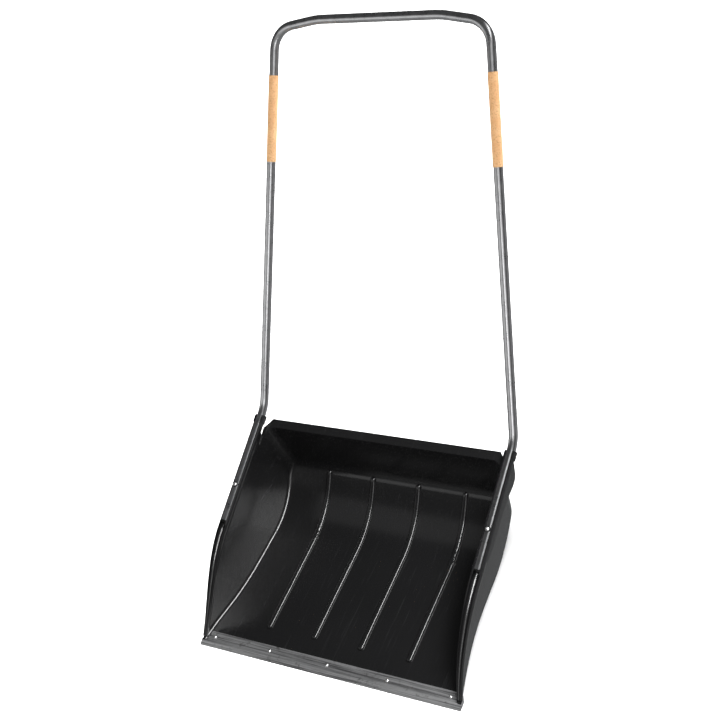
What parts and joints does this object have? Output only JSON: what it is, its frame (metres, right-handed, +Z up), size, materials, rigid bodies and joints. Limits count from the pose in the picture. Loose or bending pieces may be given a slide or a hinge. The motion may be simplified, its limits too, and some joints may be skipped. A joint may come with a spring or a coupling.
{
  "type": "push snow scoop",
  "caption": "Wide moulded snow scoop with a riveted steel front lip and a one-piece U-shaped tube handle bolted into open gutters along both side rims.",
  "frame": {"origin": "middle of the flat underside of the scoop, the face it stands on, half way across and 185 mm behind the edge of the steel lip", "axes": "+Z up from the underside, +X across the scoop, -Y towards the steel lip; the handle rises towards +Y"},
  "size_m": [0.7294, 1.1601, 1.0072],
  "materials": {
    "scoop_plastic": "black moulded polyethylene, matt with a soft sheen and fine scuffs",
    "lip_steel": "bare rolled steel strip, satin with fine scratches",
    "rivet_aluminium": "domed rivet heads, lightly worn",
    "tube_aluminium": "drawn tube, satin with fine lengthwise draw lines",
    "grip_rubber": "pale orange grip sleeve, satin",
    "plug_plastic": "black push-in plug",
    "bolt_steel": "zinc plated, satin",
    "washer_plastic": "black curved washer"
  },
  "bodies": {
    "root": {"scoop_body": "scoop_plastic", "steel_lip": "lip_steel", "lip_rivets": "rivet_aluminium", "handle_tube": "tube_aluminium", "grip_sleeve_left": "grip_rubber", "grip_sleeve_right": "grip_rubber", "tube_end_plugs": "plug_plastic", "handle_bolts": "bolt_steel", "saddle_washers": "washer_plastic", "flat_washers": "bolt_steel", "lock_nuts": "bolt_steel"}
  },
  "joints": []
}
